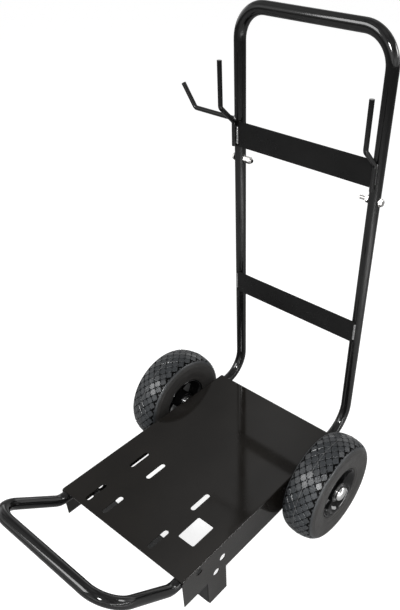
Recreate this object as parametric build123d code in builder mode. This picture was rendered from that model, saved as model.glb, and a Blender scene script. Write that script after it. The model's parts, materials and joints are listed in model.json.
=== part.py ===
from build123d import *
import os
from math import atan2, sin

# A two-wheel cart that carries a pressure washer on a folded sheet deck.
# Left and right are as seen from in front of the cart. +X points right, +Y to the rear, +Z up.
# Sizes along the cart are measured from the deck's front edge, and are in millimetres.

# round tube of the whole frame
tube_d = 25.0
tube_wall = 1.5

# folded deck
deck_width = 375.0
deck_length = 528.0
deck_top = 165.0
sheet = 2.0
flange_depth = 86.0
fold_radius = 4.0
relief_d = 5.0

# openings in the deck's top
slot_length = 55.0
slot_width = 12.0
slot_columns = (-121.0, -65.0, 76.0)
slot_row = 42.0
slot_pitch = 126.0
window_x = 123.5
window_y = 105.0
window_width = 43.5
window_length = 62.5
window_corner = 4.0

# round holes in each side flange, as distance back and drop below the top
side_hole_d = 17.5
side_holes = ((47.0, 16.5), (95.0, 74.0), (116.0, 44.5))

# front feet
foot_front = 70.0
foot_length = 55.0
brace_drop = 45.0
brace_lip = 14.0

# front carrying handle
stub_length = 36.0
front_bend_out = 18.5
front_reach = 154.0
front_rise = 100.0
front_bend_radius = 34.0
front_corner_radius = 60.0

# rear tubes and upper handle
rail_front = 160.0
upright_back = 597.0
rear_bend_radius = 68.0
seam_height = 555.5
top_bar_height = 882.0
top_corner_radius = 62.0
sleeve_gap = 0.05
sleeve_below = 40.0
sleeve_above = 52.0

# bolts through the upper handle
bolt_above_seam = 30.5
bolt_d = 8.0
bolt_hole_d = 8.4
bolt_head_height = 5.3
hex_across = 13.0
washer_d = 17.0
washer_thickness = 1.6
bolt_inner_end = 21.0
nut_length_left = 17.0
nut_length_right = 5.0

# cross plates
plate_overhang = 1.0
lower_plate_base = 251.5
lower_plate_height = 54.5
upper_plate_base = 615.5
upper_plate_height = 53.0
bead = 6.0

# hose and lance hooks
rod_d = 10.0
rod_bend = 9.0
hook_overhang = 1.0
hook_leg = 50.0
hook_forward = 41.0
hook_step = 36.0
hook_tip = 88.5
hook_lift_left = 1.5
hook_lift_right = -4.0
side_hook_lift = 53.2
side_hook_setback = 7.0
side_hook_reach = 124.5
side_hook_out = 33.5
side_hook_up = 45.0

# axle and wheels
axle_d = 16.0
axle_back = 412.0
axle_end = 43.0
running_gap = 0.05
wheel_gap = 60.5
wheel_d = 260.0
tyre_half = 44.5
rim_flange_d = 128.0
rim_half = 38.5
seat_d = 103.0
rim_wall = 3.0
hub_d = 50.0
hub_inner = 37.5
hub_outer = 35.0
bearing_d = 40.0
bearing_width = 12.0
spoke_count = 5
spoke_root = 21.0
spoke_end = 15.0
spoke_face = 16.0
spoke_thickness = 10.0
cap_d = 36.0
cap_length = 11.6
valve_d = 8.0
valve_length = 15.0

# places that follow from the sizes above
tube_x = deck_width / 2 - sheet - tube_d / 2
rail_z = deck_top - sheet - tube_d / 2
plate_half = tube_x + plate_overhang
hook_x = tube_x + hook_overhang
bolt_height = seam_height + bolt_above_seam
wheel_x = deck_width / 2 + wheel_gap
axle_half = wheel_x + axle_end
side_hook_knee = tube_x + side_hook_reach
side_hook_height = upper_plate_base + side_hook_lift
lean = atan2(side_hook_up, side_hook_out)
left_extent = side_hook_knee + side_hook_out + rod_d / 2 * sin(lean)
right_extent = wheel_x + hub_outer + 2.4 + cap_length
mid_x = (left_extent - right_extent) / 2
front_y = (front_reach - upright_back) / 2
upright_y = front_y + upright_back
plate_front = upright_y - tube_d / 2 - sheet
axle_y = front_y + axle_back
axle_z = wheel_d / 2
slot_centres = [
    (x, y)
    for x in slot_columns
    for y in (slot_row, slot_row + slot_pitch)
]

os.makedirs("parts", exist_ok=True)

# Deck: one sheet folded down at both sides, with a foot tab on each flange.
with BuildPart() as deck_plate:
    with BuildSketch(Plane(origin=(mid_x, front_y, 0), x_dir=(1, 0, 0), z_dir=(0, -1, 0))) as channel:
        with Locations((0, deck_top)):
            Rectangle(deck_width, flange_depth, align=(Align.CENTER, Align.MAX))
        with Locations((0, deck_top - sheet)):
            Rectangle(
                deck_width - 2 * sheet, flange_depth, align=(Align.CENTER, Align.MAX), mode=Mode.SUBTRACT
            )
        fillet(channel.vertices().group_by(Axis.Y)[-1], fold_radius)
        fillet(
            channel.vertices().filter_by_position(Axis.Y, deck_top - sheet - 0.1, deck_top - sheet + 0.1),
            fold_radius - sheet,
        )
    extrude(amount=-deck_length)
    for side in (-1, 1):
        with Locations((mid_x + side * (deck_width - sheet) / 2, front_y + foot_front, 0)):
            Box(
                sheet,
                foot_length,
                deck_top - flange_depth + sheet,
                align=(Align.CENTER, Align.MIN, Align.MIN),
            )
    with BuildSketch(Plane(origin=(mid_x, front_y, deck_top))):
        with Locations(*slot_centres):
            SlotOverall(slot_length, slot_width, rotation=90)
        with Locations((window_x, window_y)):
            RectangleRounded(window_width, window_length, window_corner)
    extrude(amount=-2 * sheet, mode=Mode.SUBTRACT)
    with BuildSketch(Plane(origin=(mid_x - deck_width, front_y, 0), x_dir=(0, 1, 0), z_dir=(1, 0, 0))):
        for back, drop in side_holes:
            with Locations((back, deck_top - drop)):
                Circle(side_hole_d / 2)
        with Locations((axle_back, axle_z)):
            Circle(axle_d / 2 + 2 * running_gap)
    extrude(amount=2 * deck_width, mode=Mode.SUBTRACT)
    with Locations(
        (mid_x - deck_width / 2, front_y, deck_top),
        (mid_x + deck_width / 2, front_y, deck_top),
    ):
        Cylinder(relief_d / 2, 3 * fold_radius, mode=Mode.SUBTRACT)
deck_plate.part.label = "deck_plate"
export_step(deck_plate.part, "parts/deck_plate.step")

# Cross plate between the feet, folded back where it meets each flange.
with BuildPart() as foot_brace:
    with BuildSketch(Plane(origin=(mid_x, front_y + foot_front, 0))) as plan:
        Rectangle(deck_width - 2 * sheet, brace_lip, align=(Align.CENTER, Align.MIN))
        with Locations((0, sheet)):
            Rectangle(
                deck_width - 4 * sheet, brace_lip, align=(Align.CENTER, Align.MIN), mode=Mode.SUBTRACT
            )
        fillet(plan.vertices().group_by(Axis.Y)[0], fold_radius)
    extrude(amount=deck_top - brace_drop)
foot_brace.part.label = "foot_brace"
export_step(foot_brace.part, "parts/foot_brace.step")

# Front carrying handle: one bent tube, held under the deck's front corners.
with BuildPart() as front_handle:
    with BuildLine() as front_path:
        FilletPolyline(
            (mid_x - tube_x, front_y + stub_length, rail_z),
            (mid_x - tube_x, front_y - front_bend_out, rail_z),
            (mid_x - tube_x, front_y - front_reach, deck_top + front_rise),
            (mid_x + tube_x, front_y - front_reach, deck_top + front_rise),
            (mid_x + tube_x, front_y - front_bend_out, rail_z),
            (mid_x + tube_x, front_y + stub_length, rail_z),
            radius=[front_bend_radius, front_corner_radius, front_corner_radius, front_bend_radius],
        )
    with BuildSketch(Plane(origin=front_path.line @ 0, z_dir=front_path.line % 0)):
        Circle(tube_d / 2)
        Circle(tube_d / 2 - tube_wall, mode=Mode.SUBTRACT)
    sweep()
front_handle.part.label = "front_handle"
export_step(front_handle.part, "parts/front_handle.step")

# Rear tubes: each runs back under the deck and bends up into an upright.
for side, name in ((-1, "left"), (1, "right")):
    with BuildPart() as rear_tube:
        with BuildLine() as rear_path:
            FilletPolyline(
                (mid_x + side * tube_x, front_y + rail_front, rail_z),
                (mid_x + side * tube_x, upright_y, rail_z),
                (mid_x + side * tube_x, upright_y, deck_top + seam_height),
                radius=rear_bend_radius,
            )
        with BuildSketch(Plane(origin=rear_path.line @ 0, z_dir=rear_path.line % 0)):
            Circle(tube_d / 2)
            Circle(tube_d / 2 - tube_wall, mode=Mode.SUBTRACT)
        sweep()
    rear_tube.part.label = f"rear_tube_{name}"
    export_step(rear_tube.part, f"parts/rear_tube_{name}.step")

# Upper handle: an upturned U that stands on the rear tubes.
with BuildPart() as upper_handle:
    with BuildLine() as upper_path:
        FilletPolyline(
            (mid_x - tube_x, upright_y, deck_top + seam_height),
            (mid_x - tube_x, upright_y, deck_top + top_bar_height),
            (mid_x + tube_x, upright_y, deck_top + top_bar_height),
            (mid_x + tube_x, upright_y, deck_top + seam_height),
            radius=top_corner_radius,
        )
    with BuildSketch(Plane(origin=upper_path.line @ 0, z_dir=upper_path.line % 0)):
        Circle(tube_d / 2)
        Circle(tube_d / 2 - tube_wall, mode=Mode.SUBTRACT)
    sweep()
    with Locations((mid_x, upright_y, deck_top + bolt_height)):
        Cylinder(bolt_hole_d / 2, deck_width, rotation=(0, 90, 0), mode=Mode.SUBTRACT)
upper_handle.part.label = "upper_handle"
export_step(upper_handle.part, "parts/upper_handle.step")

# Joint sleeves inside the tubes, one across each seam.
for side, name in ((-1, "left"), (1, "right")):
    with BuildPart() as joint_sleeve:
        with BuildSketch(
            Plane(origin=(mid_x + side * tube_x, upright_y, deck_top + seam_height - sleeve_below))
        ):
            Circle(tube_d / 2 - tube_wall - sleeve_gap)
            Circle(tube_d / 2 - 2 * tube_wall - sleeve_gap, mode=Mode.SUBTRACT)
        extrude(amount=sleeve_below + sleeve_above)
        with Locations((mid_x, upright_y, deck_top + bolt_height)):
            Cylinder(bolt_hole_d / 2, deck_width, rotation=(0, 90, 0), mode=Mode.SUBTRACT)
    joint_sleeve.part.label = f"joint_sleeve_{name}"
    export_step(joint_sleeve.part, f"parts/joint_sleeve_{name}.step")

# Handle bolts with their washers and nuts. The head is on the outer side.
for side, name, nut_length in ((-1, "left", nut_length_left), (1, "right", nut_length_right)):
    bolt_centre = (mid_x + side * tube_x, upright_y, deck_top + bolt_height)
    outward = Plane(origin=bolt_centre, x_dir=(0, 1, 0), z_dir=(side, 0, 0))

    with BuildPart() as handle_bolt:
        with BuildSketch(outward.offset(tube_d / 2 + washer_thickness)):
            RegularPolygon(hex_across / 2, 6, major_radius=False)
        extrude(amount=bolt_head_height)
        chamfer(handle_bolt.faces().sort_by(Axis(bolt_centre, (side, 0, 0)))[-1].edges(), 0.6)
        with BuildSketch(outward.offset(tube_d / 2 + washer_thickness)):
            Circle(bolt_d / 2)
        extrude(amount=-(tube_d + washer_thickness + bolt_inner_end))
    handle_bolt.part.label = f"handle_bolt_{name}"
    export_step(handle_bolt.part, f"parts/handle_bolt_{name}.step")

    with BuildPart() as head_washer:
        with BuildSketch(outward.offset(tube_d / 2)):
            Circle(washer_d / 2)
            Circle(bolt_hole_d / 2, mode=Mode.SUBTRACT)
        extrude(amount=washer_thickness)
    head_washer.part.label = f"head_washer_{name}"
    export_step(head_washer.part, f"parts/head_washer_{name}.step")

    with BuildPart() as handle_nut:
        with BuildSketch(outward.offset(-tube_d / 2)):
            RegularPolygon(hex_across / 2, 6, major_radius=False)
            Circle(bolt_d / 2 + running_gap, mode=Mode.SUBTRACT)
        extrude(amount=-nut_length)
    handle_nut.part.label = f"handle_nut_{name}"
    export_step(handle_nut.part, f"parts/handle_nut_{name}.step")

# Cross plates, welded across the front of the tubes, with a bead at each end.
for name, base, height in (
    ("lower", lower_plate_base, lower_plate_height),
    ("upper", upper_plate_base, upper_plate_height),
):
    with BuildPart() as cross_plate:
        with BuildSketch(Plane(origin=(mid_x, plate_front, deck_top + base))):
            Rectangle(2 * plate_half, sheet, align=(Align.CENTER, Align.MIN))
        extrude(amount=height)
    cross_plate.part.label = f"cross_plate_{name}"
    export_step(cross_plate.part, f"parts/cross_plate_{name}.step")

    for side, hand in ((-1, "left"), (1, "right")):
        with BuildPart() as plate_weld:
            with BuildSketch(Plane(origin=(mid_x, plate_front, deck_top + base + bead))):
                with Locations((side * plate_half, sheet)):
                    Circle(bead / 2)
                Rectangle(2 * plate_half, sheet, align=(Align.CENTER, Align.MIN), mode=Mode.SUBTRACT)
                with Locations((side * tube_x, sheet + tube_d / 2)):
                    Circle(tube_d / 2, mode=Mode.SUBTRACT)
                with Locations((side * plate_half, 0)):
                    Rectangle(bead, bead, align=(Align.CENTER, Align.MAX), mode=Mode.SUBTRACT)
                with Locations((side * plate_half, 0)):
                    Rectangle(
                        bead,
                        bead,
                        align=(Align.MAX if side > 0 else Align.MIN, Align.MIN),
                        mode=Mode.SUBTRACT,
                    )
            extrude(amount=height - 2 * bead)
        plate_weld.part.label = f"{name}_plate_weld_{hand}"
        export_step(plate_weld.part, f"parts/{name}_plate_weld_{hand}.step")

# Front hooks: a leg welded to the upper plate, then forward and up to a tip.
for side, name, lift in ((-1, "left", hook_lift_left), (1, "right", hook_lift_right)):
    leg_x = mid_x + side * hook_x
    leg_y = plate_front - rod_d / 2
    leg_z = deck_top + upper_plate_base + lift
    with BuildPart() as front_hook:
        with BuildLine() as hook_path:
            FilletPolyline(
                (leg_x, leg_y, leg_z),
                (leg_x, leg_y, leg_z + hook_leg),
                (leg_x, leg_y - hook_forward, leg_z + hook_leg + hook_step),
                (leg_x, leg_y - hook_forward, leg_z + hook_leg + hook_step + hook_tip),
                radius=rod_bend,
            )
        with BuildSketch(Plane(origin=hook_path.line @ 0, z_dir=hook_path.line % 0)):
            Circle(rod_d / 2)
        sweep()
    front_hook.part.label = f"front_hook_{name}"
    export_step(front_hook.part, f"parts/front_hook_{name}.step")

    with BuildPart() as hook_weld:
        with BuildSketch(Plane(origin=(leg_x, plate_front, leg_z + bead / 2))):
            with Locations((-side * rod_d / 2, 0)):
                Circle(bead / 2)
            with Locations((0, -rod_d / 2)):
                Circle(rod_d / 2, mode=Mode.SUBTRACT)
            Rectangle(2 * rod_d, rod_d, align=(Align.CENTER, Align.MIN), mode=Mode.SUBTRACT)
        extrude(amount=hook_leg - 2 * bead)
    hook_weld.part.label = f"hook_weld_{name}"
    export_step(hook_weld.part, f"parts/hook_weld_{name}.step")

# Side hook: a rod welded to the left tube, straight out and then up.
side_y = upright_y - side_hook_setback
side_z = deck_top + side_hook_height
with BuildPart() as side_hook:
    with BuildLine() as side_path:
        FilletPolyline(
            (mid_x - tube_x, side_y, side_z),
            (mid_x - side_hook_knee, side_y, side_z),
            (mid_x - side_hook_knee - side_hook_out, side_y, side_z + side_hook_up),
            radius=rod_bend,
        )
    with BuildSketch(Plane(origin=side_path.line @ 0, z_dir=side_path.line % 0)):
        Circle(rod_d / 2)
    sweep()
    with Locations((mid_x - tube_x, upright_y, side_z)):
        Cylinder(tube_d / 2, 4 * tube_d, mode=Mode.SUBTRACT)
side_hook.part.label = "side_hook"
export_step(side_hook.part, "parts/side_hook.step")

with BuildPart() as side_hook_weld:
    with BuildSketch(Plane(origin=(mid_x - tube_x, side_y, side_z), x_dir=(0, 1, 0), z_dir=(-1, 0, 0))):
        Circle(rod_d / 2 + bead / 4)
        Circle(rod_d / 2, mode=Mode.SUBTRACT)
    extrude(amount=tube_d / 2 + bead / 4)
    with Locations((mid_x - tube_x, upright_y, side_z)):
        Cylinder(tube_d / 2, 4 * tube_d, mode=Mode.SUBTRACT)
    with Locations((mid_x - tube_x, plate_front + sheet + bead / 2, side_z)):
        Box(4 * tube_d, bead, 4 * tube_d, align=(Align.CENTER, Align.MAX, Align.CENTER), mode=Mode.SUBTRACT)
side_hook_weld.part.label = "side_hook_weld"
export_step(side_hook_weld.part, "parts/side_hook_weld.step")

# Axle: one round bar through both flanges.
with BuildPart() as axle:
    with Locations((mid_x, axle_y, axle_z)):
        Cylinder(axle_d / 2, 2 * axle_half, rotation=(0, 90, 0))
    chamfer(axle.edges().filter_by(GeomType.CIRCLE), 1)
axle.part.label = "axle"
export_step(axle.part, "parts/axle.step")

# Wheels and what holds them on the axle.
for side, name in ((-1, "left"), (1, "right")):
    centre = (mid_x + side * wheel_x, axle_y, axle_z)
    section = Plane(origin=centre, x_dir=(side, 0, 0), z_dir=(0, -side, 0))
    axis = Axis(centre, (side, 0, 0))
    face = Plane(origin=centre, x_dir=(0, 0, 1), z_dir=(side, 0, 0))
    tread_r = wheel_d / 2
    rim_r = rim_flange_d / 2
    seat_r = seat_d / 2
    bore_r = axle_d / 2 + running_gap

    with BuildPart() as tyre:
        with BuildSketch(section):
            with BuildLine():
                crown = ThreePointArc((-33, tread_r - 6), (0, tread_r), (33, tread_r - 6))
                shoulder_out = ThreePointArc(
                    crown @ 1, (tyre_half - 3.2, tread_r - 15.5), (tyre_half, tread_r - 32)
                )
                wall_out = ThreePointArc(
                    shoulder_out @ 1, (tyre_half - 1.2, rim_r + 17), (rim_half + 1, rim_r + 2)
                )
                foot_out = Polyline(
                    wall_out @ 1,
                    (rim_half - 2.6, rim_r + 1),
                    (rim_half - 2.6, seat_r + 0.1),
                    (rim_half - 13, seat_r + 0.1),
                    (rim_half - 13, seat_r + 8),
                )
                cavity_out = ThreePointArc(foot_out @ 1, (tyre_half - 8, tread_r - 30), (26, tread_r - 12))
                cavity = ThreePointArc(cavity_out @ 1, (0, tread_r - 9.5), (-26, tread_r - 12))
                cavity_in = ThreePointArc(
                    cavity @ 1, (8 - tyre_half, tread_r - 30), (13 - rim_half, seat_r + 8)
                )
                foot_in = Polyline(
                    cavity_in @ 1,
                    (13 - rim_half, seat_r + 0.1),
                    (2.6 - rim_half, seat_r + 0.1),
                    (2.6 - rim_half, rim_r + 1),
                    (-rim_half - 1, rim_r + 2),
                )
                wall_in = ThreePointArc(
                    foot_in @ 1, (1.2 - tyre_half, rim_r + 17), (-tyre_half, tread_r - 32)
                )
                ThreePointArc(wall_in @ 1, (3.2 - tyre_half, tread_r - 15.5), crown @ 0)
            make_face()
        revolve(axis=axis)
    tyre.part.label = f"tyre_{name}"
    export_step(tyre.part, f"parts/tyre_{name}.step")

    with BuildPart() as rim:
        with BuildSketch(section):
            with Locations((0, seat_r)):
                Rectangle(2 * rim_half, rim_wall, align=(Align.CENTER, Align.MAX))
            for end in (-1, 1):
                with Locations((end * (rim_half - 1.25), seat_r - rim_wall)):
                    Rectangle(2.5, rim_r - seat_r + rim_wall, align=(Align.CENTER, Align.MIN))
            with Locations(((hub_outer - hub_inner) / 2, bearing_d / 2 - 3)):
                Rectangle(
                    hub_outer + hub_inner,
                    hub_d / 2 - bearing_d / 2 + 3,
                    align=(Align.CENTER, Align.MIN),
                )
            with Locations((hub_outer, 0)):
                Rectangle(bearing_width, bearing_d / 2, align=(Align.MAX, Align.MIN), mode=Mode.SUBTRACT)
            with Locations((-hub_inner, 0)):
                Rectangle(bearing_width, bearing_d / 2, align=(Align.MIN, Align.MIN), mode=Mode.SUBTRACT)
        revolve(axis=axis)
        with BuildSketch(face.offset(spoke_face - spoke_thickness)):
            with PolarLocations(0, spoke_count):
                Polygon(
                    (hub_d / 2 - 2, -spoke_root / 2),
                    (seat_r - rim_wall + 1, -spoke_end / 2),
                    (seat_r - rim_wall + 1, spoke_end / 2),
                    (hub_d / 2 - 2, spoke_root / 2),
                    align=None,
                )
        extrude(amount=spoke_thickness)
    rim.part.label = f"rim_{name}"
    export_step(rim.part, f"parts/rim_{name}.step")

    for place, start in (("inner", -hub_inner), ("outer", hub_outer - bearing_width)):
        with BuildPart() as bearing:
            with BuildSketch(face.offset(start)):
                Circle(bearing_d / 2)
                Circle(bore_r, mode=Mode.SUBTRACT)
            extrude(amount=bearing_width)
        bearing.part.label = f"bearing_{place}_{name}"
        export_step(bearing.part, f"parts/bearing_{place}_{name}.step")

    with BuildPart() as valve:
        with BuildSketch(
            Plane(
                origin=(centre[0] + side * 28, axle_y - seat_r + rim_wall + 0.2, axle_z),
                x_dir=(1, 0, 0),
                z_dir=(0, 1, 0),
            )
        ):
            Circle(valve_d / 2)
        extrude(amount=valve_length)
        chamfer(valve.faces().sort_by(Axis.Y)[-1].edges(), 1)
    valve.part.label = f"valve_{name}"
    export_step(valve.part, f"parts/valve_{name}.step")

    with BuildPart() as spacer:
        with BuildSketch(face.offset(deck_width / 2 - wheel_x)):
            Circle(axle_d / 2 + 4)
            Circle(bore_r, mode=Mode.SUBTRACT)
        extrude(amount=wheel_x - hub_inner - deck_width / 2 - 0.5)
    spacer.part.label = f"spacer_{name}"
    export_step(spacer.part, f"parts/spacer_{name}.step")

    with BuildPart() as end_washer:
        with BuildSketch(face.offset(hub_outer + 0.4)):
            Circle(axle_d / 2 + 6)
            Circle(bore_r, mode=Mode.SUBTRACT)
        extrude(amount=2)
    end_washer.part.label = f"end_washer_{name}"
    export_step(end_washer.part, f"parts/end_washer_{name}.step")

    with BuildPart() as axle_cap:
        with BuildSketch(face.offset(hub_outer + 2.4)):
            Circle(cap_d / 2)
        extrude(amount=cap_length)
        cap_rim = axle_cap.faces().sort_by(axis)[-1].edges()
        fillet(cap_rim, cap_length - 1.6)
        with BuildSketch(face.offset(hub_outer + 2.4)):
            Circle(bore_r)
        extrude(amount=axle_half - wheel_x - hub_outer - 2.2, mode=Mode.SUBTRACT)
    axle_cap.part.label = f"axle_cap_{name}"
    export_step(axle_cap.part, f"parts/axle_cap_{name}.step")
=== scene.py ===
import json
import math

import bpy
from mathutils import Matrix, Vector

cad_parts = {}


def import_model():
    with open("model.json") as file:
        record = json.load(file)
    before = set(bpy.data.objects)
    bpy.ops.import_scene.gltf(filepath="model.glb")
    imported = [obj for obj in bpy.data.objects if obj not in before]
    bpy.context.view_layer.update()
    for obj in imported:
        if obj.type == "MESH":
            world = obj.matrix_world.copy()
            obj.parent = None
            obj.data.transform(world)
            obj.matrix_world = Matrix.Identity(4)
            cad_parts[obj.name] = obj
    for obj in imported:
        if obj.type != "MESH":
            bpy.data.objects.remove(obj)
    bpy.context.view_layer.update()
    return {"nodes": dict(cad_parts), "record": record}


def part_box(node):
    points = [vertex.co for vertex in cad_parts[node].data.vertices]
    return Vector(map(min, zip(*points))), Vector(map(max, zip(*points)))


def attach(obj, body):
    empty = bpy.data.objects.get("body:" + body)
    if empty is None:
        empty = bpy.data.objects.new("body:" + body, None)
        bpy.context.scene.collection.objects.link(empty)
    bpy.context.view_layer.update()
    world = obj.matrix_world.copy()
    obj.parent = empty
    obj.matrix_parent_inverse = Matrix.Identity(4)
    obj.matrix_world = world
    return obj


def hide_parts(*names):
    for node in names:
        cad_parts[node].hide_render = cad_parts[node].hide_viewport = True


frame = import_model()

# Sizes in metres. Left is -X and right is +X, as seen from in front of the cart.
MM = 0.001

# The photograph's camera, fitted to the cart's edges. Pixels are those of a 400 x 610 image.
CAMERA_AT = Vector((0.7355, -0.6546, 1.2370))
CAMERA_AZIMUTH = math.radians(36.268)
CAMERA_ELEVATION = math.radians(39.123)
CAMERA_ROLL = math.radians(2.588)
FOCAL_PX = 611.53
CENTRE_PX = (279.2, 375.08)
IMAGE_PX = (400, 610)
SENSOR = 36.0


def camera():
    """A pinhole camera with the photograph's place, turn and shift."""
    a, e, r = CAMERA_AZIMUTH, CAMERA_ELEVATION, CAMERA_ROLL
    back = Vector((math.sin(a) * math.cos(e), -math.cos(a) * math.cos(e), math.sin(e)))
    level = Vector((math.cos(a), math.sin(a), 0))
    upright = back.cross(level)
    right = math.cos(r) * level + math.sin(r) * upright
    up = -math.sin(r) * level + math.cos(r) * upright
    data = bpy.data.cameras.new("camera")
    data.sensor_width = SENSOR
    data.lens = FOCAL_PX * SENSOR / IMAGE_PX[1]
    data.shift_x = (IMAGE_PX[0] / 2 - CENTRE_PX[0]) / IMAGE_PX[1]
    data.shift_y = (CENTRE_PX[1] - IMAGE_PX[1] / 2) / IMAGE_PX[1]
    data.clip_start = 0.01
    obj = bpy.data.objects.new("camera", data)
    bpy.context.scene.collection.objects.link(obj)
    turn = Matrix((right, up, back)).transposed().to_4x4()
    obj.matrix_world = Matrix.Translation(CAMERA_AT) @ turn
    bpy.context.scene.camera = obj


# Materials


RANGE_ENDS = ("From Min", "From Max", "To Min", "To Max")


class Tree:
    """A short way to write a material's nodes."""

    def __init__(self, name):
        self.material = bpy.data.materials.new(name)
        self.material.use_nodes = True
        self.nodes = self.material.node_tree.nodes
        self.links = self.material.node_tree.links
        self.shader = self.nodes["Principled BSDF"]
        self.place = self.add("ShaderNodeTexCoord").outputs["Object"]

    def add(self, kind, **inputs):
        node = self.nodes.new(kind)
        for key, value in inputs.items():
            self.put(node, key, value)
        return node

    def put(self, node, key, value):
        """Sets or links an input, named with _ for a space, or by its number after a _."""
        by_number = key[1:].isdigit()
        socket = node.inputs[int(key[1:]) if by_number else key.replace("_", " ")]
        if isinstance(value, bpy.types.NodeSocket):
            self.links.new(value, socket)
        else:
            socket.default_value = value

    def noise(self, scale, detail=3.0, rough=0.5, stretch=None):
        where = self.place
        if stretch:
            mapping = self.add("ShaderNodeMapping", Vector=where)
            mapping.inputs["Scale"].default_value = stretch
            where = mapping.outputs[0]
        node = self.add("ShaderNodeTexNoise", Vector=where, Scale=scale, Detail=detail, Roughness=rough)
        return node.outputs["Fac"]

    def spread(self, value, low, high, to_low=0.0, to_high=1.0):
        node = self.add("ShaderNodeMapRange", Value=value)
        for key, number in zip(RANGE_ENDS, (low, high, to_low, to_high)):
            node.inputs[key].default_value = number
        return node.outputs[0]

    def math(self, operation, a, b):
        node = self.nodes.new("ShaderNodeMath")
        node.operation = operation
        self.put(node, "_0", a)
        self.put(node, "_1", b)
        return node.outputs[0]

    def mix(self, factor, a, b):
        node = self.nodes.new("ShaderNodeMix")
        node.data_type = "RGBA"
        self.put(node, "_0", factor)
        self.put(node, "_6", a)
        self.put(node, "_7", b)
        return node.outputs[2]

    def bump(self, height, distance):
        return self.add("ShaderNodeBump", Height=height, Distance=distance, Strength=1.0).outputs[0]

    def finish(self, **inputs):
        for key, value in inputs.items():
            self.put(self.shader, key, value)
        return self.material


def grey(value, warm=0.0):
    """A grey, or a warmer one with more red than blue. warm below 0 makes it bluish."""
    return (value * (1 + warm), value, value * (1 - warm), 1)


def powder_coat(name, dark, light, rough, gloss, peel=0.00004, warm=0.0):
    """Black powder coat: a glossy skin with a fine ripple, faint clouds and a little dust."""
    t = Tree(name)
    clouds = t.spread(t.noise(9, 4), 0.35, 0.7)
    dust = t.spread(t.noise(1400, 2), 0.68, 0.78)
    colour = t.mix(clouds, grey(dark, warm), grey(light, warm))
    colour = t.mix(t.math("MULTIPLY", dust, 0.10), colour, grey(0.2))
    roughness = t.spread(t.noise(22, 5), 0.3, 0.75, rough * 0.75, rough * 1.3)
    ripple = t.bump(t.noise(420, 2), peel)
    return t.finish(Base_Color=colour, Roughness=roughness, Normal=ripple, Specular_IOR_Level=gloss)


def bare_metal(name, base, rough, grain, along=(1, 1, 1), warm=0.0, bump=0.00002):
    """Steel or zinc, with grain and dull patches."""
    t = Tree(name)
    patches = t.spread(t.noise(60, 4), 0.35, 0.7)
    lines = t.noise(grain, 3, 0.6, along)
    colour = t.mix(patches, grey(base, warm), grey(base * 0.72, warm))
    roughness = t.spread(lines, 0.3, 0.75, rough * 0.7, rough * 1.5)
    return t.finish(
        Base_Color=colour, Metallic=1.0, Roughness=roughness, Normal=t.bump(lines, bump)
    )


def weld_metal():
    """A weld bead under thin black paint, worn to grey on its ridges."""
    t = Tree("weld_bead")
    speckle = t.spread(t.noise(700, 4, 0.7), 0.38, 0.62)
    colour = t.mix(speckle, grey(0.03), grey(0.5))
    metal = t.spread(speckle, 0, 1, 0.3, 0.95)
    roughness = t.spread(speckle, 0, 1, 0.5, 0.3)
    return t.finish(
        Base_Color=colour, Metallic=metal, Roughness=roughness, Normal=t.bump(t.noise(900, 3), 0.0003)
    )


# Radii between which the sidewall's look turns into the tread's, and the tread's into the mould line's
# light grey, a painted highlight.
TREAD_BLEND = (0.112, 0.119)
MOULD_LINE_HIGHLIGHT_BLEND = (0.12972, 0.12988)


def tyre_rubber():
    """Moulded black rubber: shiny blocks with a bluish painted highlight, grooves darkened with painted
    shade, light grey painted glints in specks and on the mould line, and a dull, warmer sidewall.
    """
    t = Tree("tyre_rubber")
    split = t.add("ShaderNodeSeparateXYZ", Vector=t.place)
    squares = [t.math("POWER", split.outputs[axis], 2.0) for axis in (1, 2)]
    radius = t.math("POWER", t.math("ADD", *squares), 0.5)
    clouds = t.spread(t.noise(14, 5), 0.3, 0.75)
    # Light grey specks all over the tyre: painted glints.
    painted_glint_specks = t.spread(t.noise(1100, 3, 0.65), 0.6, 0.8)
    wall = t.mix(clouds, grey(0.017, 0.05), grey(0.028, 0.05))
    raised = t.add("ShaderNodeAttribute")
    raised.attribute_name = "raised"
    # The blocks' lighter, bluish grey is a painted highlight: the bluish light that their tops catch,
    # painted into the rubber.
    blocks = t.mix(clouds, grey(0.017, -0.1), grey(0.036, -0.1))
    # The grooves' floors and the feet of the blocks are painted near black (grey 0.0015): painted shade
    # in the grooves.
    tread_colour_groove_shade = t.mix(raised.outputs["Fac"], grey(0.0015), blocks)
    on_tread = t.spread(radius, *TREAD_BLEND)
    colour = t.mix(on_tread, wall, tread_colour_groove_shade)
    # The top of the mould line is painted light grey: a painted highlight along the ridge.
    line = t.spread(radius, *MOULD_LINE_HIGHLIGHT_BLEND)
    colour = t.mix(line, colour, grey(0.16))
    colour = t.mix(t.math("MULTIPLY", painted_glint_specks, 0.3), colour, grey(0.16))
    rough_wall = t.spread(t.noise(35, 4), 0.3, 0.75, 0.38, 0.52)
    rough_tread = t.spread(t.noise(90, 4), 0.3, 0.75, 0.22, 0.38)
    roughness = t.mix(on_tread, rough_wall, rough_tread)
    fine = t.bump(t.noise(1600, 3), 0.00012)
    shine = t.mix(on_tread, grey(0.4), t.mix(raised.outputs["Fac"], grey(0.05), grey(0.6)))
    return t.finish(Base_Color=colour, Roughness=roughness, Normal=fine, Specular_IOR_Level=shine)


def plain_rubber():
    t = Tree("valve_rubber")
    colour = t.mix(t.spread(t.noise(300, 4), 0.3, 0.7), grey(0.02), grey(0.045))
    return t.finish(Base_Color=colour, Roughness=0.6, Normal=t.bump(t.noise(1500, 3), 0.0001))


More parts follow.
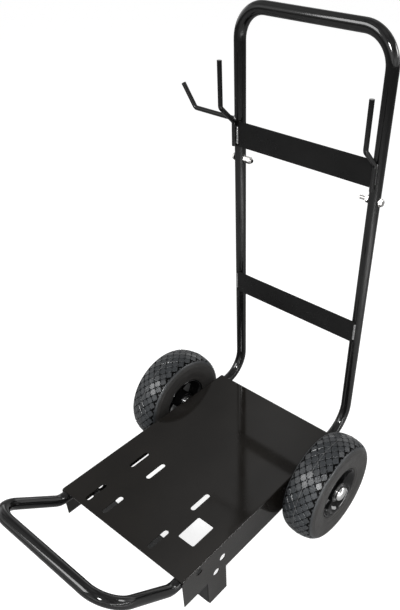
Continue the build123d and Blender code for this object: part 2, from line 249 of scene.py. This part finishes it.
def chrome_plate():
    t = Tree("chrome_plate")
    smudge = t.spread(t.noise(90, 5, 0.6), 0.45, 0.8)
    colour = t.mix(smudge, grey(0.86), grey(0.7, 0.03))
    roughness = t.spread(smudge, 0, 1, 0.06, 0.2)
    return t.finish(
        Base_Color=colour, Metallic=1.0, Roughness=roughness, Normal=t.bump(t.noise(120, 2), 0.00006)
    )


MATERIALS = {
    "tube_paint": powder_coat("tube_paint", 0.003, 0.006, 0.09, 0.5),
    "deck_paint": powder_coat("deck_paint", 0.006, 0.0085, 0.09, 0.55, 0.00002, 0.14),
    "plate_paint": powder_coat("plate_paint", 0.0045, 0.007, 0.3, 0.2),
    "rim_paint": powder_coat("rim_paint", 0.0025, 0.005, 0.08, 0.4),
    "weld": weld_metal(),
    "bare_steel": bare_metal("bare_steel", 0.42, 0.34, 500, (0.05, 1, 1)),
    "zinc": bare_metal("zinc", 0.78, 0.24, 800, (1, 1, 1), 0.02),
    "bearing_steel": bare_metal("bearing_steel", 0.5, 0.28, 600),
    "chrome": chrome_plate(),
    "tyre": tyre_rubber(),
    "valve_rubber": plain_rubber(),
}


# Mesh tools


def piece(name, verts, faces, body, slot, nodes, origin=(0, 0, 0), smooth=True, angle=35):
    """One mesh of the cart, riding on a body and standing for CAD nodes. angle is in degrees."""
    mesh = bpy.data.meshes.new(name)
    mesh.from_pydata([tuple(v) for v in verts], [], faces)
    mesh.validate()
    mesh.update()
    mesh.materials.append(MATERIALS[slot])
    obj = bpy.data.objects.new(name, mesh)
    bpy.context.scene.collection.objects.link(obj)
    obj.location = origin
    bpy.context.view_layer.update()
    if smooth:
        mesh.shade_smooth()
        mesh.set_sharp_from_angle(angle=math.radians(angle))
    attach(obj, body)
    if nodes:
        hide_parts(*nodes)
    return obj


def lathe(profile, segments):
    """Rings about the X axis from a closed list of (x, radius)."""
    verts, faces, n = [], [], len(profile)
    for i in range(segments):
        a = 2 * math.pi * i / segments
        verts += [(x, r * math.cos(a), r * math.sin(a)) for x, r in profile]
    for i in range(segments):
        j = (i + 1) % segments
        for k in range(n):
            m = (k + 1) % n
            faces.append((i * n + k, i * n + m, j * n + m, j * n + k))
    return verts, faces


def join(parts):
    """One mesh of many."""
    verts, faces = [], []
    for v, f in parts:
        start = len(verts)
        verts += v
        faces += [tuple(i + start for i in face) for face in f]
    return verts, faces


def arc(a, b, c, steps):
    """Points on the circle through a, b and c, from a to c."""
    (ax, ay), (bx, by), (cx, cy) = a, b, c
    d = 2 * (ax * (by - cy) + bx * (cy - ay) + cx * (ay - by))
    aa, bb, cc = ax**2 + ay**2, bx**2 + by**2, cx**2 + cy**2
    ux = (aa * (by - cy) + bb * (cy - ay) + cc * (ay - by)) / d
    uy = (aa * (cx - bx) + bb * (ax - cx) + cc * (bx - ax)) / d
    radius = math.hypot(ax - ux, ay - uy)
    start = math.atan2(ay - uy, ax - ux)
    middle = (math.atan2(by - uy, bx - ux) - start) % (2 * math.pi)
    end = (math.atan2(cy - uy, cx - ux) - start) % (2 * math.pi)
    if middle > end:
        end -= 2 * math.pi
    turns = [start + end * i / steps for i in range(steps + 1)]
    return [(ux + radius * math.cos(turn), uy + radius * math.sin(turn)) for turn in turns]


def add_bevel(obj, width, segments, angle):
    bevel = obj.modifiers.new("bevel", "BEVEL")
    bevel.width = width
    bevel.segments = segments
    bevel.limit_method = "ANGLE"
    bevel.angle_limit = math.radians(angle)


# Tyres

# Sizes of the tyre and of the rim that it sits on, the same as in the CAD.
TYRE_R = 130 * MM
TYRE_HALF = 44.5 * MM
RIM_R = 64 * MM
SEAT_R = 51.5 * MM
RIM_HALF = 38.5 * MM
CROWN_HALF = 33 * MM
CROWN_DROP = 6 * MM

# The tread is a lattice of diamonds: pitches around the tyre, rows on each side of its middle, the step
# from row to row, and how far each diamond's corners stand back from its neighbours'.
PITCHES = 34
TREAD_ROWS = 3
ROW_STEP = 10.2 * MM
GAP = 1.35 * MM
PITCH = 2 * math.pi / PITCHES
SEGMENTS = PITCHES * 6

# Depth of the grooves, and where a block starts, below the tyre's outline.
GROOVE = 3.2 * MM
BLOCK_FOOT = GROOVE + 0.4 * MM

# Distances from the middle of the tread, along the outline, at which the grooves run out.
GROOVES_FADE = (35 * MM, 41 * MM)
GROOVES_END = 40 * MM
WALL_START = 45 * MM
WALL_STEP = 0.7 * MM

# Raised rings on the sidewall, as radius, height and width.
WALL_RINGS = ((107 * MM, 0.5 * MM, 1.0 * MM), (71 * MM, 0.7 * MM, 1.4 * MM))
OUTLINE_STEPS = 80


def half_outline():
    """The tyre's outside on one half, from the middle of the tread to the rim, as (x, radius)."""
    edge = (CROWN_HALF, TYRE_R - CROWN_DROP)
    shoulder = (TYRE_HALF, TYRE_R - 32 * MM)
    bead = (RIM_HALF + 1 * MM, RIM_R + 2 * MM)
    crown = arc((-CROWN_HALF, TYRE_R - CROWN_DROP), (0, TYRE_R), edge, 32)[16:]
    side = arc(edge, (TYRE_HALF - 3.2 * MM, TYRE_R - 15.5 * MM), shoulder, 16)
    wall = arc(shoulder, (TYRE_HALF - 1.2 * MM, RIM_R + 17 * MM), bead, 16)
    return crown + side[1:] + wall[1:]


class Outline:
    """Places on the tyre's outside by distance from the middle of the tread."""

    def __init__(self):
        self.points = half_outline()
        self.at = [0.0]
        for a, b in zip(self.points, self.points[1:]):
            self.at.append(self.at[-1] + math.dist(a, b))

    def __call__(self, s, lift=0.0):
        side, s = math.copysign(1, s), abs(s)
        k = max(i for i, v in enumerate(self.at[:-1]) if v <= s)
        a, b = self.points[k], self.points[k + 1]
        f = (s - self.at[k]) / (self.at[k + 1] - self.at[k])
        nx, nr = (a[1] - b[1]), (b[0] - a[0])
        n = math.hypot(nx, nr)
        x = a[0] + f * (b[0] - a[0]) + lift * nx / n
        r = a[1] + f * (b[1] - a[1]) + lift * nr / n
        return side * x, r


OUTLINE = Outline()


def spot(s, angle, lift):
    """A place on the tyre, lifted from its outline."""
    x, r = OUTLINE(s, lift)
    return (x, r * math.cos(angle), r * math.sin(angle))


def block(corners, low, mid, high, inset):
    """A block on the tread. corners are (s, angle) in order; its top edge is chamfered."""
    n = len(corners)
    cs = sum(c[0] for c in corners) / n
    ca = sum(c[1] for c in corners) / n
    verts = [spot(s, a, low) for s, a in corners]
    verts += [spot(s, a, mid) for s, a in corners]
    verts += [spot(cs + (s - cs) * inset, ca + (a - ca) * inset, high) for s, a in corners]
    faces = [tuple(2 * n + i for i in range(n))]
    for i in range(n):
        j = (i + 1) % n
        faces.append((i, j, n + j, n + i))
        faces.append((n + i, n + j, 2 * n + j, 2 * n + i))
    return verts, faces


def tread():
    """Staggered diamonds."""
    parts = []
    high = -0.35 * MM
    half_s = ROW_STEP - GAP
    half_a = PITCH / 2 - GAP / TYRE_R
    for row in range(-TREAD_ROWS, TREAD_ROWS + 1):
        s = row * ROW_STEP
        for k in range(PITCHES):
            a = (k + (row % 2) / 2) * PITCH
            corners = [(s - half_s, a), (s, a - half_a), (s + half_s, a), (s, a + half_a)]
            parts.append(block(corners, -BLOCK_FOOT, high - 0.7 * MM, high, 0.89))
    return parts


def tyre_body():
    """The tyre without its tread blocks: a closed ring, and 1 for each corner outside the grooves."""
    length = OUTLINE.at[-1]
    fade_start, fade_end = GROOVES_FADE
    right, high = [], []
    for i in range(OUTLINE_STEPS + 1):
        s = length * (i / OUTLINE_STEPS)
        radius = OUTLINE(s)[1]
        lift = -GROOVE * min(1.0, max(0.0, (fade_end - s) / (fade_end - fade_start)))
        if s > WALL_START:
            for ring_r, height, width in WALL_RINGS:
                lift += height * math.exp(-(((radius - ring_r) / width) ** 2))
            lift -= WALL_STEP * min(1.0, (s - WALL_START) / (6 * MM))
        right.append(OUTLINE(min(s, length * 0.99999), lift))
        high.append(float(s > GROOVES_END))
    right += [(RIM_HALF - 3.2 * MM, RIM_R + 0.2 * MM), (24 * MM, 56 * MM)]
    high += [1.0, 1.0]
    left = [(-x, r) for x, r in reversed(right)]
    return lathe(left[:-1] + right, SEGMENTS), (high[:0:-1] + high) * SEGMENTS


def diamond_links():
    """Low bars that join neighbouring diamonds across the grooves."""
    parts = []
    for row in range(-TREAD_ROWS, TREAD_ROWS):
        for k in range(PITCHES):
            a = (k + (row % 2) / 2) * PITCH
            for way in (-1, 1):
                s_mid, a_mid = (row + 0.5) * ROW_STEP, a + way * PITCH / 4
                across = (ROW_STEP * 0.22, way * PITCH * 0.11)
                along = (across[0] / 2, -across[1] / 2)
                corners = [
                    (s_mid + p * across[0] + q * along[0], a_mid + p * across[1] + q * along[1])
                    for p, q in ((-1, -1), (1, -1), (1, 1), (-1, 1))
                ]
                if way < 0:
                    corners.reverse()
                parts.append(block(corners, -BLOCK_FOOT, -1.35 * MM, -1.2 * MM, 0.9))
    return parts


def shoulder_ribs():
    """Short ribs on the shoulders, two to a pitch. Those in line with a diamond start farther out."""
    parts = []
    end = 50 * MM
    half = PITCH * 0.17
    for side in (-1, 1):
        for k in range(2 * PITCHES):
            a = k * PITCH / 2
            start = 42.5 * MM if k % 2 else 37.5 * MM
            corners = [(start, a - half * 0.6), (start, a + half * 0.6), (end, a + half), (end, a - half)]
            corners = [(side * s, b) for s, b in corners]
            if side < 0:
                corners.reverse()
            parts.append(block(corners, -GROOVE, -0.7 * MM, -0.25 * MM, 0.9))
    return parts


def mould_line():
    """The thin line that the mould leaves around the middle of the tread."""
    foot, foot_r, tip = 0.5 * MM, TYRE_R - 1.2 * MM, 0.25 * MM
    return lathe([(-foot, foot_r), (foot, foot_r), (tip, TYRE_R), (-tip, TYRE_R)], SEGMENTS)


def wheel_centre(name):
    low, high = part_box(f"tyre_{name}")
    return (low + high) / 2


def tyres():
    body, raised = tyre_body()
    blocks = tread() + diamond_links() + shoulder_ribs()
    for corners, _ in blocks:
        n = len(corners) // 3
        raised += [0.0] * n + [1.0] * (2 * n)
    line = mould_line()
    raised += [1.0] * len(line[0])
    verts, faces = join([body] + blocks + [line])
    for name in ("left", "right"):
        obj = piece(
            f"tyre_visual_{name}", verts, faces, f"wheel_{name}", "tyre",
            [f"tyre_{name}"], wheel_centre(name), angle=30,
        )
        obj.data.attributes.new("raised", "FLOAT", "POINT").data.foreach_set("value", raised)


# Rims

# The hub's radius and ends, its bore between and at the bearings, the half width of the rim's
# straight middle, its wall, and its spokes.
HUB_R = 25 * MM
HUB_OUT = 35 * MM
HUB_IN = 37.5 * MM
BORE = 17 * MM
SEAT_BORE = 20 * MM
BEARING = 12 * MM
DISH = 18 * MM
WALL = 3 * MM
SPOKES = 5
SPOKE_FACES = (6 * MM, 16 * MM)

# Radius and half width of a spoke at its root and its end.
SPOKE_ENDS = ((23 * MM, 10.5 * MM), (SEAT_R - WALL + 1 * MM, 7.5 * MM))
BOX_FACES = ((0, 1, 3, 2), (4, 6, 7, 5), (0, 4, 5, 1), (2, 3, 7, 6), (0, 2, 6, 4), (1, 5, 7, 3))


def rim_body(side):
    """The rolled rim with its sloping dishes, and the hub, about the X axis. side is +1 on the right."""
    half = [
        (DISH, SEAT_R - WALL),
        (RIM_HALF - 4 * MM, RIM_R - 5 * MM),
        (RIM_HALF - 0.6 * MM, RIM_R - 2.4 * MM),
        (RIM_HALF, RIM_R - 1.2 * MM),
        (RIM_HALF - 0.6 * MM, RIM_R),
        (RIM_HALF - 2 * MM, RIM_R),
        (RIM_HALF - 4 * MM, RIM_R - 2.2 * MM),
        (DISH, SEAT_R),
    ]
    shell = half + [(-x, r) for x, r in reversed(half)]
    hub = [
        (-HUB_IN, SEAT_BORE),
        (-HUB_IN, HUB_R),
        (HUB_OUT, HUB_R),
        (HUB_OUT, SEAT_BORE),
        (HUB_OUT - BEARING, SEAT_BORE),
        (HUB_OUT - BEARING, BORE),
        (BEARING - HUB_IN, BORE),
        (BEARING - HUB_IN, SEAT_BORE),
    ]
    parts = [lathe(shell, 144), lathe([(side * x, r) for x, r in hub], 96)]
    for k in range(SPOKES):
        a = 2 * math.pi * k / SPOKES
        sin, cos = math.sin(a), math.cos(a)
        corners = [(x, r, t) for x in SPOKE_FACES for r, w in SPOKE_ENDS for t in (-w, w)]
        verts = [(side * x, t * cos - r * sin, r * cos + t * sin) for x, r, t in corners]
        parts.append((verts, BOX_FACES))
    return join(parts)


def rims():
    for name, side in (("left", -1), ("right", 1)):
        verts, faces = rim_body(side)
        obj = piece(
            f"rim_visual_{name}", verts, faces, f"wheel_{name}", "rim_paint",
            [f"rim_{name}"], wheel_centre(name),
        )
        add_bevel(obj, 1.2 * MM, 3, 50)


# Welds and threads

# Sizes of the frame's tube, rods and bolts, and how far the side hook stands before the tube's middle.
TUBE_R = 12.5 * MM
BOLT_R = 4 * MM
THREAD_PITCH = 1.25 * MM
SIDE_HOOK_SETBACK = 7 * MM

# Length of one ripple of a weld, and the radii of the beads and of the ring around the side hook.
RIPPLE = 2.6 * MM
PLATE_BEAD = 2.8 * MM
HOOK_BEAD = 2.6 * MM
RING_BEAD = 1.8 * MM
RING_R = 5.4 * MM
RING_STEPS = 96


def swept(path, radius_at, around, closed=False):
    """A skin about a line of points. radius_at(length so far, angle) gives its radius."""
    verts, faces, length = [], [], 0.0
    n = len(path)
    for i, point in enumerate(path):
        before = path[i - 1] if i or closed else point
        after = path[(i + 1) % n] if i + 1 < n or closed else point
        along = (after - before).normalized()
        side = along.cross(Vector((0.3, 1, 0.2))).normalized()
        other = along.cross(side)
        if i:
            length += (point - path[i - 1]).length
        for k in range(around):
            a = 2 * math.pi * k / around
            outward = math.cos(a) * side + math.sin(a) * other
            verts.append(tuple(point + radius_at(length, a) * outward))
    for i in range(n if closed else n - 1):
        j = (i + 1) % n
        for k in range(around):
            m = (k + 1) % around
            faces.append((i * around + k, i * around + m, j * around + m, j * around + k))
    if not closed:
        faces.append(tuple(reversed(range(around))))
        faces.append(tuple((n - 1) * around + k for k in range(around)))
    return verts, faces


def bead(name, path, radius, node, closed=False):
    """A weld bead: a row of overlapping crescents."""
    total = sum((b - a).length for a, b in zip(path, path[1:]))

    def radius_at(length, a):
        step = (length / RIPPLE + 0.35 * math.cos(a)) % 1.0
        ends = 1.0 if closed else min(1.0, 0.35 + min(length, total - length) / (2 * MM))
        return radius * ends * (0.84 + 0.2 * (1 - step) ** 0.7 + 0.04 * math.sin(9 * length / RIPPLE))

    verts, faces = swept(path, radius_at, 20, closed)
    piece(name, verts, faces, "frame", "weld", [node], angle=50)


def upright_line(x, y, low, high):
    steps = 120
    return [Vector((x, y, low + (high - low) * i / steps)) for i in range(steps + 1)]


def welds():
    """Beads at the ends of both cross plates, along the front hooks' legs and around the side hook."""
    for level in ("lower", "upper"):
        plate_low, plate_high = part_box(f"cross_plate_{level}")
        for hand, x in (("left", plate_low[0]), ("right", plate_high[0])):
            node = f"{level}_plate_weld_{hand}"
            low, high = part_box(node)
            bead(f"{node}_bead", upright_line(x, plate_high[1], low[2], high[2]), PLATE_BEAD, node)
    for hand, way in (("left", 1), ("right", -1)):
        node = f"hook_weld_{hand}"
        low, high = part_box(node)
        rod_low, rod_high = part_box(f"front_hook_{hand}")
        x = rod_high[0] if way > 0 else rod_low[0]
        bead(f"{node}_bead", upright_line(x, plate_low[1], low[2], high[2]), HOOK_BEAD, node)
    ring = []
    low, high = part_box("side_hook_weld")
    tube_low, tube_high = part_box("joint_sleeve_left")
    tube_x, tube_y = (tube_low[0] + tube_high[0]) / 2, (tube_low[1] + tube_high[1]) / 2
    rod_y, rod_z = tube_y - SIDE_HOOK_SETBACK, (low[2] + high[2]) / 2
    for i in range(RING_STEPS):
        a = 2 * math.pi * i / RING_STEPS
        y = rod_y + RING_R * math.cos(a)
        x = tube_x - math.sqrt(TUBE_R**2 - min(abs(y - tube_y), TUBE_R - 0.5 * MM) ** 2)
        ring.append(Vector((x, y, rod_z + RING_R * math.sin(a))))
    bead("side_hook_weld_bead", ring, RING_BEAD, "side_hook_weld", closed=True)


def bolt_threads():
    """Rolled threads on what shows of each bolt beyond its nut."""
    for hand, way in (("left", 1), ("right", -1)):
        bolt_low, bolt_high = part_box(f"handle_bolt_{hand}")
        nut_low, nut_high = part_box(f"handle_nut_{hand}")
        y, z = (nut_low[1] + nut_high[1]) / 2, (nut_low[2] + nut_high[2]) / 2
        start, end = (nut_high[0], bolt_high[0]) if way > 0 else (nut_low[0], bolt_low[0])
        steps = max(8, int(abs(end - start) / THREAD_PITCH * 12))
        path = [Vector((start + (end - start) * i / steps, y, z)) for i in range(steps + 1)]

        def radius_at(length, a):
            turn = (length / THREAD_PITCH - a / (2 * math.pi)) % 1.0
            return BOLT_R - 0.25 * MM + 0.65 * MM * (1 - abs(2 * turn - 1))

        verts, faces = swept(path, radius_at, 36)
        piece(f"bolt_thread_{hand}", verts, faces, "frame", "zinc", [], smooth=False)


# The CAD's own nodes

# Rounding of the edges that the CAD leaves sharp.
BEVELS = {
    "deck_plate": 0.5 * MM,
    "foot_brace": 0.5 * MM,
    "cross_plate_lower": 0.5 * MM,
    "cross_plate_upper": 0.5 * MM,
}


def dress_nodes():
    """Gives each CAD node the material of its slot, and rounds the sheets' edges."""
    slots = {entry["node"]: entry["material_slot"] for entry in frame["record"]["subparts"]}
    for name, obj in frame["nodes"].items():
        material = MATERIALS[slots[name]]
        if not obj.material_slots:
            obj.data.materials.append(material)
        for entry in obj.material_slots:
            entry.material = material
        if name in BEVELS:
            add_bevel(obj, BEVELS[name], 2, 40)


# The studio

# Brightness of the paper's own glow, of the paper, of the light from all round, and of the ceiling in
# reflections. The last two are where the white horizon ends and where the ceiling starts, as heights.
FLOOR_GLOW = 0.86
PAPER = 0.34
AMBIENT = 0.34
CEILING = 0.4
HORIZON_TOP = 0.2
CEILING_FROM = 0.5
CLOUD_SCALE = 2.6
CLOUD_RANGE = (0.38, 0.62, 0.55, 1.5)
FLOOR_HALF = 60.0


def floor():
    """White paper to the horizon, which keeps a faint shadow."""
    corners = [(x * FLOOR_HALF, y * FLOOR_HALF, 0) for x, y in ((-1, -1), (1, -1), (1, 1), (-1, 1))]
    mesh = bpy.data.meshes.new("floor")
    mesh.from_pydata(corners, [], [(0, 1, 2, 3)])
    obj = bpy.data.objects.new("floor", mesh)
    bpy.context.scene.collection.objects.link(obj)
    t = Tree("floor_paper")
    paper = t.mix(t.noise(3), grey(PAPER * 0.98), grey(PAPER * 1.02))
    t.finish(Base_Color=paper, Roughness=0.8, Specular_IOR_Level=0.1)
    seen = t.add("ShaderNodeLightPath").outputs["Is Camera Ray"]
    t.finish(Emission_Color=grey(1), Emission_Strength=t.math("MULTIPLY", seen, FLOOR_GLOW))
    mesh.materials.append(t.material)


def world():
    """White to the camera. Reflections see a white horizon below an uneven grey ceiling."""
    scene_world = bpy.data.worlds.new("studio")
    scene_world.use_nodes = True
    bpy.context.scene.world = scene_world
    nodes, links = scene_world.node_tree.nodes, scene_world.node_tree.links
    way = nodes.new("ShaderNodeTexCoord")
    split = nodes.new("ShaderNodeSeparateXYZ")
    links.new(way.outputs["Generated"], split.inputs[0])
    ramp = nodes.new("ShaderNodeValToRGB")
    links.new(split.outputs["Z"], ramp.inputs[0])
    ramp.color_ramp.elements[0].position = HORIZON_TOP
    ramp.color_ramp.elements[0].color = grey(1)
    ramp.color_ramp.elements[1].position = CEILING_FROM
    ramp.color_ramp.elements[1].color = grey(CEILING)
    clouds = nodes.new("ShaderNodeTexNoise")
    clouds.inputs["Scale"].default_value = CLOUD_SCALE
    clouds.inputs["Detail"].default_value = 1.5
    links.new(way.outputs["Generated"], clouds.inputs["Vector"])
    uneven = nodes.new("ShaderNodeMapRange")
    for key, number in zip(RANGE_ENDS, CLOUD_RANGE):
        uneven.inputs[key].default_value = number
    links.new(clouds.outputs["Fac"], uneven.inputs["Value"])
    soft = nodes.new("ShaderNodeVectorMath")
    soft.operation = "SCALE"
    links.new(ramp.outputs[0], soft.inputs[0])
    links.new(uneven.outputs[0], soft.inputs["Scale"])
    mix = nodes.new("ShaderNodeMix")
    mix.data_type = "RGBA"
    mix.inputs[6].default_value = grey(AMBIENT)
    path = nodes.new("ShaderNodeLightPath")
    links.new(path.outputs["Is Glossy Ray"], mix.inputs[0])
    links.new(soft.outputs[0], mix.inputs[7])
    plain = nodes.new("ShaderNodeMix")
    plain.data_type = "RGBA"
    plain.inputs[7].default_value = grey(1)
    links.new(path.outputs["Is Camera Ray"], plain.inputs[0])
    links.new(mix.outputs[2], plain.inputs[6])
    links.new(plain.outputs[2], nodes["Background"].inputs["Color"])


def lamp(name, at, aim, size, power):
    """A rectangular softbox."""
    data = bpy.data.lights.new(name, "AREA")
    data.shape = "RECTANGLE"
    data.size, data.size_y = size
    data.energy = power
    obj = bpy.data.objects.new(name, data)
    bpy.context.scene.collection.objects.link(obj)
    obj.location = at
    obj.rotation_euler = (Vector(aim) - Vector(at)).to_track_quat("-Z", "Y").to_euler()


def studio():
    """Three softboxes, and a low one whose light on the floor shows as a line in the tubes."""
    floor()
    world()
    lamp("key", (1.5, -1.8, 2.3), (0, 0, 0.4), (0.5, 0.5), 62)
    lamp("fill", (-0.9, -1.9, 2.1), (0, 0, 0.2), (1.3, 1.3), 44)
    lamp("rim", (2.0, 2.4, 2.0), (0, 0, 0.5), (1.2, 0.8), 30)
    lamp("wash", (1.35, -0.2, 0.4), (1.35, -0.2, 0), (0.22, 1.7), 30)


camera()
studio()
dress_nodes()
tyres()
rims()
welds()
bolt_threads()

bpy.context.scene.view_settings.view_transform = "Standard"
